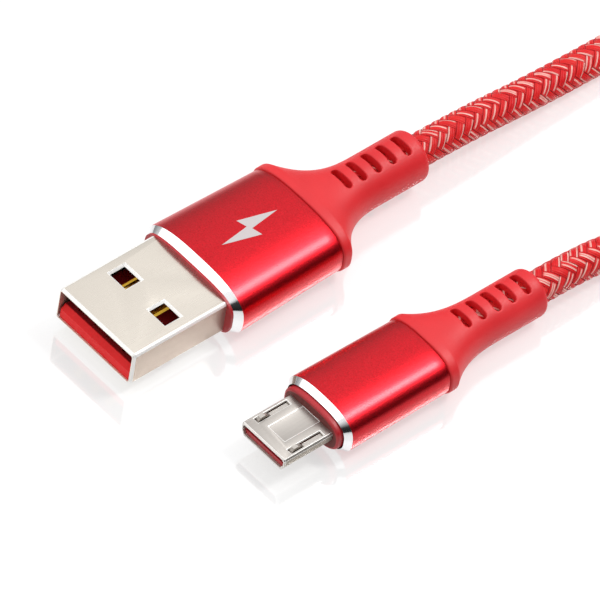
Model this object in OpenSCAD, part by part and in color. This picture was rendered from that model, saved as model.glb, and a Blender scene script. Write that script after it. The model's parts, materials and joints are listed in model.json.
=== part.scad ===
// Charging cable: a wide four-contact plug and a small five-contact plug on one braided cord.
// +X runs across the plugs, +Y from their mouths towards the cord, +Z up. They lie on z = 0.

/* [Large plug] */
// Width of the metal shell
large_shell_w = 12; // [11.8:0.1:12.2]
// Height of the metal shell
large_shell_h = 4.5; // [4.4:0.05:4.6]
// Length of the shell in front of the insert
large_shell_out = 13; // [12:0.1:14]
// Width of the aluminium sleeve at its front
large_sleeve_w = 15.5; // [15.4:0.1:16.5]
// Height of the aluminium sleeve at its front, before its sole is cut flat
large_sleeve_h = 7.2; // [7.1:0.1:8.4]
// Rear end of the sleeve, measured from the insert's front face
large_sleeve_end = 15.5; // [15:0.1:17]
// Tail end of the strain relief, measured from the insert's front face
large_tail = 31.8; // [28:0.1:36]
// Diameter of the strain relief at its tail
large_tail_d = 6; // [5.4:0.1:6.8]

/* [Small plug] */
// Width of the metal shell
small_shell_w = 6.85; // [6.8:0.05:6.9]
// Height of the metal shell
small_shell_h = 1.8; // [1.75:0.05:1.85]
// Mouth of the shell, measured from the sleeve's front
small_shell_out = 8.3; // [7.8:0.1:8.8]
// Length of the front insert that stands out of the sleeve
small_insert_out = 1.6; // [1:0.1:2]
// Width of the aluminium sleeve at its front
small_sleeve_w = 10.3; // [10.2:0.1:11]
// Height of the aluminium sleeve at its front, before its sole is cut flat
small_sleeve_h = 5.9; // [5.8:0.1:6.6]
// Rear end of the sleeve, measured from its front
small_sleeve_end = 13.7; // [13:0.1:16]
// Tail end of the strain relief, measured from the sleeve's front
small_tail = 29.7; // [26:0.1:33]
// Diameter of the strain relief at its tail
small_tail_d = 5.6; // [5:0.1:6]

/* [Strain reliefs] */
// Number of flex slots
slot_count = 5; // [3:1:5]
// Distance from one slot to the next
slot_pitch = 2.1; // [2:0.05:2.3]
// Width of a slot along the plug
slot_w = 0.9; // [0.7:0.05:1.1]
// Length of a slot across the plug
slot_l = 3; // [2.4:0.1:3.4]

/* [Cord] */
// Diameter of the braided cord
cord_d = 3.8; // [3.6:0.05:3.9]
// Diameter of one insulated wire
wire_d = 0.8; // [0.6:0.05:0.85]
// Radius of the coil's outermost turn, at the cord's middle
coil_r = 26; // [25:0.5:27]

/* [Layout] */
// Distance between the two plugs' middles
plug_gap = 21.6; // [20:0.1:24]

/* [Hidden] */

// Fineness of true circles
$fn = 48;
// Slack that keeps two neighbouring solids from sharing a face by rounding
hair = 0.02;
// Overshoot of a cutter past the face that it cuts
over = 1;

// The two plugs stand so that their common box is centred on the origin. Each sleeve's crowned
// underside is cut flat by the depth of its sole.
front_y = -(large_tail - large_shell_out) / 2;
middle_x = (large_sleeve_w - small_sleeve_w) / 4;
large_x = middle_x - plug_gap / 2;
small_x = middle_x + plug_gap / 2;
sole = 0.12;
large_z = large_sleeve_h / 2 - sole;
small_z = small_sleeve_h / 2 - sole;

// Large plug: sheet, sleeve and inner places, along the plug from the insert's front face
large_sheet = 0.3;
large_shell_r = 0.45;
large_shell_end = 4.5;
large_sleeve_power = 2.7;
large_bore = [13.9, 5.6];
large_bore_power = 3.6;
large_rim = 0.3;
large_chamfer = 0.9;
large_taper = 0.944;
large_insert_end = 3.2;
large_mould_end = 12.7;
large_jacket_y = 9.4;
large_crimp = [9.8, 12.2, 5];
large_tongue_top = -0.22;
large_tongue_front = 0.2;
large_tongue_bevel = 0.55;
large_block_y = -1.5;
large_contact_x = [-3.5, -1, 1, 3.5];
large_contact = [1, 0.25];
large_contact_y = [-11.8, 6.6];
large_window = [2.5, 2.05];
large_window_x = 3.15;
large_window_y = -6.25;
large_slot_y = 21.3;
large_neck = 9;

// Small plug: the same, from the sleeve's front
small_sheet = 0.25;
small_shell_end = 3.5;
small_foot_w = 5.9;
small_sleeve_power = 2.6;
small_bore = [9, 4.7];
small_bore_power = 2.7;
small_rim = -0.9;
small_chamfer = 0.8;
small_taper = 0.97;
small_insert = [8.6, 4.4];
small_insert_end = 2.2;
small_mould_end = 11.7;
small_jacket_y = 8.4;
small_crimp = [8.8, 11.2, 4.4];
small_floor_top = -0.1;
small_block_y = -2;
small_contact_x = [-1.3, -0.65, 0, 0.65, 1.3];
small_contact = [0.3, 0.12];
small_root_y = -2.08;
small_crown_y = -6.2;
small_tip_y = -7.4;
small_tail_y = 5.6;
small_slot = [0.65, 4.5];
small_slot_x = 2.65;
small_slot_y = -4.75;
small_latch_w = 0.45;
small_latch_t = 0.18;
small_hook = [0.9, 0.32];
small_slot1_y = 19.2;
small_neck = 9;
small_wired = [0, 1, 2, 4];

// How far a strain relief's collar stands proud of the sleeve's rear end
collar_proud = 0.15;

// Where the four wires meet the jacket's end, about the cord's middle
core = [[-0.5, 0.5], [-0.5, -0.5], [0.5, 0.5], [0.5, -0.5]];

// Cord: middle lines of the two leads, from the plugs' tails to the coil
rest_z = cord_d / 2;
coil_c = [16.5, 69];
lead_large = [
    [large_x, large_tail + front_y, large_z], [large_x, 27, 3.4], [large_x, 32, 3.1],
    [large_x, 38, 2.5], [large_x, 44, 2.1], [large_x, 50, rest_z], [large_x, 55, rest_z],
    [large_x, 60, rest_z]
];
// The small lead leaves the coil on an arc that touches both, and its last point follows the coil
bend_r = 14;
bend_x = small_x + bend_r;
bend_y = coil_c[1] - sqrt(pow(coil_r + bend_r, 2) - pow(coil_c[0] - bend_x, 2));
bend_end = atan2(coil_c[1] - bend_y, coil_c[0] - bend_x);
join_a = bend_end - 170;
lead_small = concat(
    [
        [small_x, small_tail + front_y, small_z], [small_x, 24, 2.8], [small_x, 28, 2.5],
        [small_x, bend_y, 2.15]
    ],
    [for (a = [165:-15:120]) [bend_x + bend_r * cos(a), bend_y + bend_r * sin(a), rest_z]],
    [
        [bend_x + bend_r * cos(bend_end), bend_y + bend_r * sin(bend_end), rest_z],
        [coil_c[0] + coil_r * cos(join_a), coil_c[1] + coil_r * sin(join_a), rest_z]
    ]
);
tube_sides = 8;
coil_tracks = 4;
coil_height = 7.2;
tie_angle = 45;
tie_w = 8;
tie_t = 0.6;

// ---- shared shapes ----

// Section with round corners, centred, in the XZ plane once it is extruded along Y
module round_rect(w, h, r) {
    square([w - 2 * r, h], center = true);
    square([w, h - 2 * r], center = true);
    for (x = [-1, 1], z = [-1, 1])
        translate([x * (w / 2 - r), z * (h / 2 - r)]) circle(r);
}

// Extrudes a section from y0 to y1, with its second axis upwards
module along_y(y0, y1) {
    translate([0, y1, 0]) rotate([90, 0, 0]) linear_extrude(y1 - y0) children();
}

// Extrudes a side view, drawn as [y, z], by w about x
module across_x(x, w) {
    translate([x - w / 2, 0, 0]) rotate([90, 0, 90]) linear_extrude(w) children();
}

// Box from its low corner to its high corner
module span(low, high) {
    translate(low) cube(high - low);
}

// Round bar on the plug's middle line, from y0 to y1
module bar(y0, y1, d) {
    translate([0, y1, 0]) rotate([90, 0, 0]) cylinder(d = d, h = y1 - y0);
}

// Solid through rings of equal count, each ring counter-clockwise as seen from the first ring's front
module loft(rings) {
    n = len(rings[0]);
    m = len(rings);
    sides = [for (k = [0:m - 2], i = [0:n - 1], half = [0, 1])
        let (a = k * n + i, b = k * n + (i + 1) % n)
        half == 0 ? [a, b, b + n] : [a, b + n, a + n]];
    caps = [[for (i = [n - 1:-1:0]) i], [for (i = [0:n - 1]) (m - 1) * n + i]];
    polyhedron([for (ring = rings) for (p = ring) p], concat(sides, caps));
}

// Superellipse of half-size a by b: p = 2 is an ellipse, and a larger p is squarer
function oval(a, b, p, n = 64) = [for (i = [0:n - 1])
    let (c = cos(360 * i / n), s = sin(360 * i / n))
    [a * sign(c) * pow(abs(c), 2 / p), b * sign(s) * pow(abs(s), 2 / p)]];

// The same in the plane of constant y, as a ring for loft()
function oval_ring(a, b, p, y, n = 64) = [for (q = oval(a, b, p, n)) [q[0], y, q[1]]];

// Tube of tube_sides along a list of points, which never runs straight up
function unit(v) = v / norm(v);
function heading(points, k) =
    unit(points[min(k + 1, len(points) - 1)] - points[max(k - 1, 0)]);
function tube_ring(points, k, r) =
    let (t = heading(points, k), u = unit(cross(t, [0, 0, 1])), v = cross(u, t))
    [for (i = [0:tube_sides - 1]) points[k] + r * (u * cos(360 * (i + 0.5) / tube_sides)
        + v * sin(360 * (i + 0.5) / tube_sides))];
module tube(points, r) {
    loft([for (k = [0:len(points) - 1]) tube_ring(points, k, r)]);
}

module at_large() {
    translate([large_x, front_y, large_z]) children();
}

module at_small() {
    translate([small_x, front_y, small_z]) children();
}

// Outside of a crowned sleeve of w by h: a chamfer from the bore's edge, then a taper to the rear
module sleeve_skin(w, h, power, bore, bore_power, rim, chamfer, taper, end) {
    intersection() {
        loft([
            oval_ring(bore[0] / 2, bore[1] / 2, bore_power, rim),
            oval_ring(w / 2, h / 2, power, rim + chamfer),
            oval_ring(w / 2 * taper, h / 2 * taper, power, end)
        ]);
        span([-w, rim - over, sole - h / 2], [w, end + over, h]);
    }
}

// Outside of a strain relief from y0 to y1: a collar of half-size a by b, a hollow neck of
// length neck_l that falls to the round tail of radius r, and a rounded end
module relief_skin(a, b, power, r, y0, y1, neck_l) {
    steps = 12;
    collar_l = 1.1;
    collar_edge = 0.12;
    round_r = 0.6;
    collar = [
        oval_ring(a - collar_edge, b - collar_edge, power, y0, 40),
        oval_ring(a, b, power, y0 + collar_edge, 40)
    ];
    body = [for (i = [0:steps]) let (u = i / steps, f = pow(1 - u, 3))
        oval_ring(r + (a - r) * f, r + (b - r) * f, 2 + (power - 2) * f,
            y0 + collar_l + neck_l * u, 40)];
    tail = [for (t = [0:30:90])
        oval_ring(r - round_r * (1 - cos(t)), r - round_r * (1 - cos(t)), 2,
            y1 - round_r * (1 - sin(t)), 40)];
    intersection() {
        loft(concat(collar, body, tail));
        span([-2 * a, y0 - over, sole - b], [2 * a, y1 + over, 2 * b]);
    }
}

// Row of flex slots, cut from above and below down to the cord
module flex_slots(first_y) {
    for (i = [0:slot_count - 1], s = [-1, 1])
        translate([0, first_y + i * slot_pitch, s > 0 ? cord_d / 2 - 0.35 : -cord_d / 2 + 0.35 - 4])
            linear_extrude(4) {
                square([slot_l - slot_w, slot_w], center = true);
                for (x = [-1, 1]) translate([x * (slot_l - slot_w) / 2, 0]) circle(slot_w / 2);
            }
}

// ---- large plug ----

module large_shell_block(y0, y1) {
    along_y(y0, y1) round_rect(large_shell_w, large_shell_h, large_shell_r);
}

module large_shell() {
    color("gainsboro") at_large() difference() {
        large_shell_block(-large_shell_out, large_shell_end);
        along_y(-large_shell_out - over, large_shell_end + over)
            round_rect(large_shell_w - 2 * large_sheet, large_shell_h - 2 * large_sheet, 0.2);
        for (x = [-1, 1]) translate([x * large_window_x, large_window_y, 0])
            cube([large_window[0], large_window[1], large_shell_h + over], center = true);
    }
}

// Middle of the grooves that hold the four contacts, as long as the contacts
module large_contact_blank(x) {
    w = large_contact[0] / 2;
    span([x - w, large_contact_y[0], large_tongue_top - large_contact[1]],
        [x + w, large_contact_y[1], large_tongue_top]);
}

module large_contact_carrier() {
    in_w = large_shell_w / 2 - large_sheet - hair;
    in_h = large_shell_h / 2 - large_sheet - hair;
    tongue_y = -large_shell_out + large_tongue_front;
    top = large_tongue_top;
    bevel = large_tongue_bevel;
    color("firebrick") at_large() difference() {
        union() {
            across_x(0, 2 * in_w - 0.4) polygon([
                [tongue_y, -in_h], [tongue_y, top - bevel], [tongue_y + bevel, top],
                [large_block_y, top], [large_block_y, -in_h]
            ]);
            along_y(large_block_y, large_shell_end) round_rect(2 * in_w, 2 * in_h, 0.2);
        }
        for (x = large_contact_x) large_contact_blank(x);
    }
}

module large_contact(i) {
    color("gold") at_large() large_contact_blank(large_contact_x[i]);
}

module large_bore_block(y0, y1) {
    along_y(y0, y1) polygon(oval(large_bore[0] / 2, large_bore[1] / 2, large_bore_power));
}

module large_front_insert() {
    color("darkred") at_large() difference() {
        large_bore_block(0, large_insert_end);
        large_shell_block(-over, large_insert_end + over);
    }
}

module large_sleeve() {
    color("crimson") at_large() difference() {
        sleeve_skin(large_sleeve_w, large_sleeve_h, large_sleeve_power, large_bore,
            large_bore_power, large_rim, large_chamfer, large_taper, large_sleeve_end);
        large_bore_block(-over, large_sleeve_end + over);
    }
}

module large_jacket_blank() {
    bar(large_jacket_y, large_tail, cord_d);
}

module large_strain_relief() {
    color("tomato") at_large() difference() {
        union() {
            large_bore_block(large_mould_end, large_sleeve_end);
            relief_skin(large_sleeve_w / 2 * large_taper + collar_proud,
                large_sleeve_h / 2 * large_taper + collar_proud, large_sleeve_power,
                large_tail_d / 2, large_sleeve_end, large_tail, large_neck);
        }
        large_jacket_blank();
        flex_slots(large_slot_y);
    }
}

module large_crimp_blank() {
    bar(large_crimp[0], large_crimp[1], large_crimp[2]);
}

module large_crimp_band() {
    color("silver") at_large() difference() {
        large_crimp_blank();
        large_jacket_blank();
    }
}

module large_jacket_end() {
    color("indianred") at_large() large_jacket_blank();
}

module large_wire_blank(i) {
    z = large_tongue_top + wire_d / 2 + hair;
    x = large_contact_x[i];
    c = core[i];
    tube([[x, 4.9, z], [x, large_contact_y[1] + 0.2, z], [c[0], 8.8, c[1]],
        [c[0], large_jacket_y, c[1]]], wire_d / 2);
}

module large_wire(i, tint) {
    color(tint) at_large() large_wire_blank(i);
}

module large_inner_mould() {
    color("whitesmoke") at_large() difference() {
        large_bore_block(large_insert_end, large_mould_end);
        large_shell_block(0, large_shell_end);
        for (x = large_contact_x) large_contact_blank(x);
        for (i = [0:3]) large_wire_blank(i);
        large_jacket_blank();
        large_crimp_blank();
    }
}

// ---- small plug ----

// Section of the small shell, wide side up and lower corners cut, smaller by t all round
module small_section(t) {
    w = small_shell_w / 2 - t;
    foot = small_foot_w / 2 - 0.55 * t;
    h = small_shell_h / 2 - t;
    c = 0.2;
    polygon([[-foot, -h], [foot, -h], [w, -0.05], [w, h - c], [w - c, h], [c - w, h], [-w, h - c],
        [-w, -0.05]]);
}

module small_shell() {
    panel_w = 2.6;
    panel_y = -6.5;
    panel_t = 0.07;
    color("silver") at_small() difference() {
        along_y(-small_shell_out, small_shell_end) small_section(0);
        along_y(-small_shell_out - over, small_shell_end + over) small_section(small_sheet);
        for (x = [-1, 1]) translate([x * small_slot_x, small_slot_y, small_shell_h / 2])
            cube([small_slot[0], small_slot[1], 4 * small_sheet], center = true);
        span([-panel_w / 2, panel_y, small_shell_h / 2 - panel_t],
            [panel_w / 2, -small_insert_out, small_shell_h / 2 + over]);
    }
}

// Side view of one latch: a flat spring with a hook that stands out of the shell's slot
module small_latch(x) {
    top = small_shell_h / 2 - small_sheet - 0.04;
    low = top - small_latch_t;
    tip = small_slot_y - small_slot[1] / 2 + 0.12;
    rise = small_shell_h / 2 + small_hook[1];
    color("dimgray") at_small() across_x(x, small_latch_w) polygon([
        [small_root_y, low], [small_root_y, top], [tip + 2 * small_hook[0], top],
        [tip + small_hook[0], rise], [tip + 0.3 * small_hook[0], rise], [tip, top], [tip, low]
    ]);
}

module small_tail_blank(x) {
    w = small_contact[0] / 2;
    span([x - w, small_block_y, small_floor_top - small_contact[1]],
        [x + w, small_tail_y, small_floor_top]);
}

module small_contact_carrier() {
    groove_w = 0.42;
    groove_floor = -0.52;
    color("brown") at_small() difference() {
        union() {
            intersection() {
                along_y(-small_shell_out + 0.3, small_block_y + hair)
                    small_section(small_sheet + hair);
                span([-small_shell_w, -small_shell_out, -2], [small_shell_w, 0, small_floor_top]);
            }
            along_y(small_block_y, small_shell_end) small_section(small_sheet + hair);
        }
        for (x = small_contact_x) {
            span([x - groove_w / 2, small_tip_y - 0.15, groove_floor],
                [x + groove_w / 2, small_block_y, 0]);
            small_tail_blank(x);
        }
    }
}

// Side view of one spring contact: flat root, crown that the socket presses, and a dipped tip
module small_contact(i) {
    t = small_contact[1];
    base = small_floor_top;
    crown = base + 0.3;
    tip = base - 0.02;
    color("gold") at_small() across_x(small_contact_x[i], small_contact[0]) polygon([
        [small_root_y, base - t], [small_root_y, base], [small_crown_y + 0.4, crown],
        [small_crown_y - 0.2, crown], [small_tip_y, tip], [small_tip_y, tip - t],
        [small_crown_y - 0.2, crown - t], [small_crown_y + 0.4, crown - t]
    ]);
}

module small_contact_tails() {
    color("goldenrod") at_small() for (x = small_contact_x) small_tail_blank(x);
}

module small_bore_block(y0, y1) {
    along_y(y0, y1) polygon(oval(small_bore[0] / 2, small_bore[1] / 2, small_bore_power));
}

module small_front_insert() {
    color("indianred") at_small() difference() {
        union() {
            along_y(-small_insert_out, small_rim)
                polygon(oval(small_insert[0] / 2, small_insert[1] / 2, small_bore_power));
            small_bore_block(small_rim, small_insert_end);
        }
        along_y(-small_insert_out - over, small_insert_end + over) small_section(0);
    }
}

module small_sleeve() {
    color("crimson") at_small() difference() {
        sleeve_skin(small_sleeve_w, small_sleeve_h, small_sleeve_power, small_bore,
            small_bore_power, small_rim, small_chamfer, small_taper, small_sleeve_end);
        small_bore_block(-over, small_sleeve_end + over);
    }
}

module small_jacket_blank() {
    bar(small_jacket_y, small_tail, cord_d);
}

module small_strain_relief() {
    color("tomato") at_small() difference() {
        union() {
            small_bore_block(small_mould_end, small_sleeve_end);
            relief_skin(small_sleeve_w / 2 * small_taper + collar_proud,
                small_sleeve_h / 2 * small_taper + collar_proud, small_sleeve_power,
                small_tail_d / 2, small_sleeve_end, small_tail, small_neck);
        }
        small_jacket_blank();
        flex_slots(small_slot1_y);
    }
}

module small_crimp_blank() {
    bar(small_crimp[0], small_crimp[1], small_crimp[2]);
}

module small_crimp_band() {
    color("silver") at_small() difference() {
        small_crimp_blank();
        small_jacket_blank();
    }
}

module small_jacket_end() {
    color("indianred") at_small() small_jacket_blank();
}

// The wires lie on and under the tails in turn, because they are thicker than the tails' pitch
module small_wire_blank(i) {
    r = wire_d / 2;
    x = small_contact_x[small_wired[i]];
    z = i % 2 == 0 ? small_floor_top + r : small_floor_top - small_contact[1] - r;
    c = core[i];
    tube([[x, 3.9, z], [x, 5.3, z], [c[0], 7.6, c[1]], [c[0], small_jacket_y, c[1]]], r);
}

module small_wire(i, tint) {
    color(tint) at_small() small_wire_blank(i);
}

module small_inner_mould() {
    color("whitesmoke") at_small() difference() {
        small_bore_block(small_insert_end, small_mould_end);
        along_y(0, small_shell_end) small_section(0);
        for (x = small_contact_x) small_tail_blank(x);
        for (i = [0:3]) small_wire_blank(i);
        small_jacket_blank();
        small_crimp_blank();
    }
}

// ---- cord ----

module cord_lead_large() {
    color("red") tube(lead_large, cord_d / 2);
}

module cord_lead_small() {
    color("red") tube(lead_small, cord_d / 2);
}

// Outer shape of the wound turns: tracks side by side below, and one fewer in a layer above
module cord_coil() {
    out_r = coil_r + cord_d / 2;
    in_r = coil_r - (coil_tracks - 1) * (cord_d + 0.1) - cord_d / 2;
    slope = 1.4;
    color("red") translate([coil_c[0], coil_c[1], 0]) rotate_extrude($fn = 96) polygon([
        [in_r + 0.8, 0], [out_r - 0.8, 0], [out_r, 0.8], [out_r, cord_d - 0.8],
        [out_r - slope, coil_height - 0.8], [out_r - slope - 0.8, coil_height],
        [in_r + slope + 0.8, coil_height], [in_r + slope, coil_height - 0.8],
        [in_r, cord_d - 0.8], [in_r, 0.8]
    ]);
}

// Flat band round all the turns at one place, where it lifts them by its own thickness
module coil_tie() {
    out_r = coil_r + cord_d / 2 + tie_t;
    in_r = coil_r - (coil_tracks - 1) * (cord_d + 0.1) - cord_d / 2 - tie_t;
    color("dimgray") translate([coil_c[0], coil_c[1], 0]) rotate([0, 0, tie_angle]) difference() {
        span([in_r, -tie_w / 2, 0], [out_r, tie_w / 2, coil_height + 2 * tie_t]);
        span([in_r + tie_t, -tie_w, tie_t], [out_r - tie_t, tie_w, coil_height + tie_t]);
    }
}

large_shell();
large_contact_carrier();
large_contact(0);  // large_contact_1
large_contact(1);  // large_contact_2
large_contact(2);  // large_contact_3
large_contact(3);  // large_contact_4
large_front_insert();
large_sleeve();
large_strain_relief();
large_inner_mould();
large_crimp_band();
large_jacket_end();
large_wire(0, "red");  // large_wire_1
large_wire(1, "white");  // large_wire_2
large_wire(2, "green");  // large_wire_3
large_wire(3, "black");  // large_wire_4
small_shell();
small_latch(-small_slot_x);  // small_latch_left
small_latch(small_slot_x);  // small_latch_right
small_contact_carrier();
small_contact(0);  // small_contact_1
small_contact(1);  // small_contact_2
small_contact(2);  // small_contact_3
small_contact(3);  // small_contact_4
small_contact(4);  // small_contact_5
small_contact_tails();
small_front_insert();
small_sleeve();
small_strain_relief();
small_inner_mould();
small_crimp_band();
small_jacket_end();
small_wire(0, "red");  // small_wire_1
small_wire(1, "white");  // small_wire_2
small_wire(2, "green");  // small_wire_3
small_wire(3, "black");  // small_wire_4
cord_lead_large();
cord_coil();
cord_lead_small();
coil_tie();
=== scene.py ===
"""Looks of the braided charging cable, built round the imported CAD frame. Lengths are in metres."""
import json
import math

import bmesh
import bpy
import numpy as np
from mathutils import Matrix, Vector

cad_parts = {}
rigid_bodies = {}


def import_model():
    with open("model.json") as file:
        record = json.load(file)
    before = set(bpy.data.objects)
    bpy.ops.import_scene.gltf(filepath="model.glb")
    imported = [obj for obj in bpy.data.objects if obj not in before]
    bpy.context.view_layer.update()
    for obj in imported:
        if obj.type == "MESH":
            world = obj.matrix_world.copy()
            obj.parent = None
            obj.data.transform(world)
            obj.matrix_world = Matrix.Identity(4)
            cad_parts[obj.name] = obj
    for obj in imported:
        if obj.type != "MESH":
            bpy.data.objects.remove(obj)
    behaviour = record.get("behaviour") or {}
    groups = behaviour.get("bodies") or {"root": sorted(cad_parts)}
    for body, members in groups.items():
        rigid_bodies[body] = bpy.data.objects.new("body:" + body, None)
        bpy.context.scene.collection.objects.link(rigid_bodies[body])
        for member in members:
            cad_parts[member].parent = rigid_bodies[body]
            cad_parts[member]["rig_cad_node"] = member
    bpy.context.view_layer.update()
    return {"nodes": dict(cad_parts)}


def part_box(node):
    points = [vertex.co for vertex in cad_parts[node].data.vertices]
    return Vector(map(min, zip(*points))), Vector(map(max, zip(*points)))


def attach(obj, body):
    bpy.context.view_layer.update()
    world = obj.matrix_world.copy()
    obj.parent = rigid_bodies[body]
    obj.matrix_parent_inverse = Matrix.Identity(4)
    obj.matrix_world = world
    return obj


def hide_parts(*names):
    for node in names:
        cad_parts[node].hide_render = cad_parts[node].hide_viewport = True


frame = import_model()
MM = 0.001


# ---------------------------------------------------------------- places read from the frame

def middle(low, high):
    return (low + high) / 2


large_low, large_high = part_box("large_sleeve")
small_low, small_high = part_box("small_sleeve")
large_shell_low, large_shell_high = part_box("large_shell")
small_shell_low, small_shell_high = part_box("small_shell")
LARGE_X = middle(large_low, large_high).x
SMALL_X = middle(small_low, small_high).x
LARGE_Z = middle(large_shell_low, large_shell_high).z
SMALL_Z = middle(small_shell_low, small_shell_high).z
FRONT_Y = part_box("large_front_insert")[0].y
LARGE_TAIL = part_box("large_strain_relief")[1].y
SMALL_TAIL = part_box("small_strain_relief")[1].y


# ---------------------------------------------------------------- camera

VIEW_RIGHT = Vector((0.6568, 0.7450, 0.1175)).normalized()
VIEW_BACK = Vector((0.4476, -0.5103, 0.7337)).normalized()
VIEW_AIM = Vector((LARGE_X + 8.7 * MM, FRONT_Y + 8.21 * MM, LARGE_Z))
LENS, SENSOR = 1500, 36
VIEW_WIDTH = 0.06296
VIEW_DISTANCE = VIEW_WIDTH * LENS / SENSOR


def add_camera():
    """Long lens at the photograph's angle: the three rows of its matrix are right, up and back."""
    data = bpy.data.cameras.new("camera")
    data.lens = LENS
    data.sensor_width = SENSOR
    data.clip_start, data.clip_end = 0.01, 20
    cam = bpy.data.objects.new("camera", data)
    bpy.context.scene.collection.objects.link(cam)
    up = VIEW_BACK.cross(VIEW_RIGHT).normalized()
    right = up.cross(VIEW_BACK)
    turn = Matrix((right, up, VIEW_BACK)).transposed().to_4x4()
    cam.matrix_world = Matrix.Translation(VIEW_AIM + VIEW_BACK * VIEW_DISTANCE) @ turn
    bpy.context.scene.camera = cam


add_camera()


# ---------------------------------------------------------------- mesh helpers

def smoothstep(t):
    t = np.clip(t, 0, 1)
    return t * t * (3 - 2 * t)


def new_object(name, verts, faces, smooth_deg=35):
    mesh = bpy.data.meshes.new(name)
    mesh.from_pydata([tuple(v) for v in verts], [], faces)
    mesh.validate()
    obj = bpy.data.objects.new(name, mesh)
    bpy.context.scene.collection.objects.link(obj)
    shade(obj, smooth_deg)
    return obj


def shade(obj, smooth_deg=35):
    """Smooth shading with edges sharper than the angle left crisp, and all normals outwards."""
    bm = bmesh.new()
    bm.from_mesh(obj.data)
    bmesh.ops.recalc_face_normals(bm, faces=bm.faces)
    limit = math.radians(smooth_deg)
    for face in bm.faces:
        face.smooth = True
    for edge in bm.edges:
        edge.smooth = edge.is_manifold and edge.calc_face_angle(0) < limit
    bm.to_mesh(obj.data)
    bm.free()


def oval(a, b, p, n):
    """Points of a superellipse, spread evenly along its outline, as an n by 2 array in mm."""
    t = np.linspace(0, 2 * math.pi, 16 * n, endpoint=False)
    c, s = np.cos(t), np.sin(t)
    xy = np.stack([a * np.sign(c) * abs(c) ** (2 / p), b * np.sign(s) * abs(s) ** (2 / p)], 1)
    return even_outline(xy, n)


def even_outline(xy, n):
    """The closed outline again, as n points an equal length apart."""
    closed = np.vstack([xy, xy[:1]])
    along = np.concatenate([[0], np.cumsum(np.linalg.norm(np.diff(closed, axis=0), axis=1))])
    at = np.linspace(0, along[-1], n, endpoint=False)
    return np.stack([np.interp(at, along, closed[:, k]) for k in range(2)], 1)


def round_outline(w, h, r, steps=8):
    """Rectangle with round corners, from the +X side counter-clockwise."""
    points = []
    for k, (sx, sz) in enumerate([(1, 1), (-1, 1), (-1, -1), (1, -1)]):
        for t in np.radians(np.linspace(90 * k, 90 * k + 90, steps + 1)):
            points.append((sx * (w / 2 - r) + r * math.cos(t), sz * (h / 2 - r) + r * math.sin(t)))
    return np.array(points)


def ring_points(outline, y, at):
    """An outline in mm, put in the plane y of a plug whose middle line is at (x, z)."""
    x, z = at
    return [(x + p[0] * MM, FRONT_Y + y * MM, z + p[1] * MM) for p in outline]


def loft(name, rings, closed=False, smooth_deg=35):
    """Skin over rings of equal count. closed joins the last ring to the first, as round a bore."""
    n, m = len(rings[0]), len(rings)
    verts = [p for ring in rings for p in ring]
    last = m if closed else m - 1
    faces = [(k * n + i, k * n + (i + 1) % n, (k + 1) % m * n + (i + 1) % n, (k + 1) % m * n + i)
             for k in range(last) for i in range(n)]
    if not closed:
        faces += [tuple(range(n - 1, -1, -1)), tuple((m - 1) * n + i for i in range(n))]
    return new_object(name, verts, faces, smooth_deg)


def apply_modifiers(obj):
    deps = bpy.context.evaluated_depsgraph_get()
    mesh = bpy.data.meshes.new_from_object(obj.evaluated_get(deps))
    obj.modifiers.clear()
    obj.data = mesh


def cut(obj, cutters):
    """Takes the cutters out of obj."""
    for cutter in cutters:
        mod = obj.modifiers.new("cut", "BOOLEAN")
        mod.operation, mod.solver, mod.object = "DIFFERENCE", "EXACT", cutter
    apply_modifiers(obj)
    for cutter in cutters:
        bpy.data.objects.remove(cutter)


def bevel(obj, width, angle, material):
    """Two-segment bevel of the edges sharper than the angle, with the material of that index."""
    mod = obj.modifiers.new("edge", "BEVEL")
    mod.material = material
    mod.width, mod.segments = width * MM, 2
    mod.limit_method, mod.angle_limit = "ANGLE", math.radians(angle)
    mod.use_clamp_overlap = True
    apply_modifiers(obj)


# ---------------------------------------------------------------- cord: route

CORD_D = 3.8
REST_Z = CORD_D / 2
LEAD_LARGE = [
    (-9.5, 22.4, 3.48), (-9.5, 27, 3.4), (-9.5, 32, 3.1), (-9.5, 38, 2.5), (-9.5, 44, 2.1),
    (-9.5, 50, REST_Z), (-9.5, 55, REST_Z), (-9.5, 60, REST_Z),
]
LEAD_SMALL = [(12.1, 20.3, 2.83), (12.1, 24, 2.8), (12.1, 28, 2.5)]
BEND_START_Z = 2.15
INSIDE_LARGE_Y, INSIDE_SMALL_Y = 12, 10
ROUTE_STEP = 0.3
COIL_C = (16.5, 69)
COIL_R = 26
BEND_R = 14
BEND_X = LEAD_SMALL[0][0] + BEND_R
BEND_Y = COIL_C[1] - math.sqrt((COIL_R + BEND_R) ** 2 - (COIL_C[0] - BEND_X) ** 2)
BEND_END = math.degrees(math.atan2(COIL_C[1] - BEND_Y, COIL_C[0] - BEND_X))
PITCH = CORD_D + 0.1
TOUCH = CORD_D + 0.05
UPPER = math.sqrt(TOUCH ** 2 - (PITCH / 2) ** 2)
JUMP_START, JUMP_END = 1 / 6, 1 / 3
LOW_LAPS, ALL_LAPS = 3, 6
COIL_TURNS = ALL_LAPS + (360 - BEND_END) / 360
HUMP = 0.55
TIE_ANGLE = 45
TIE_T = 0.6
LIFT_FROM, LIFT_OVER = 26, 14
STEPS_PER_TURN = 180


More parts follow.
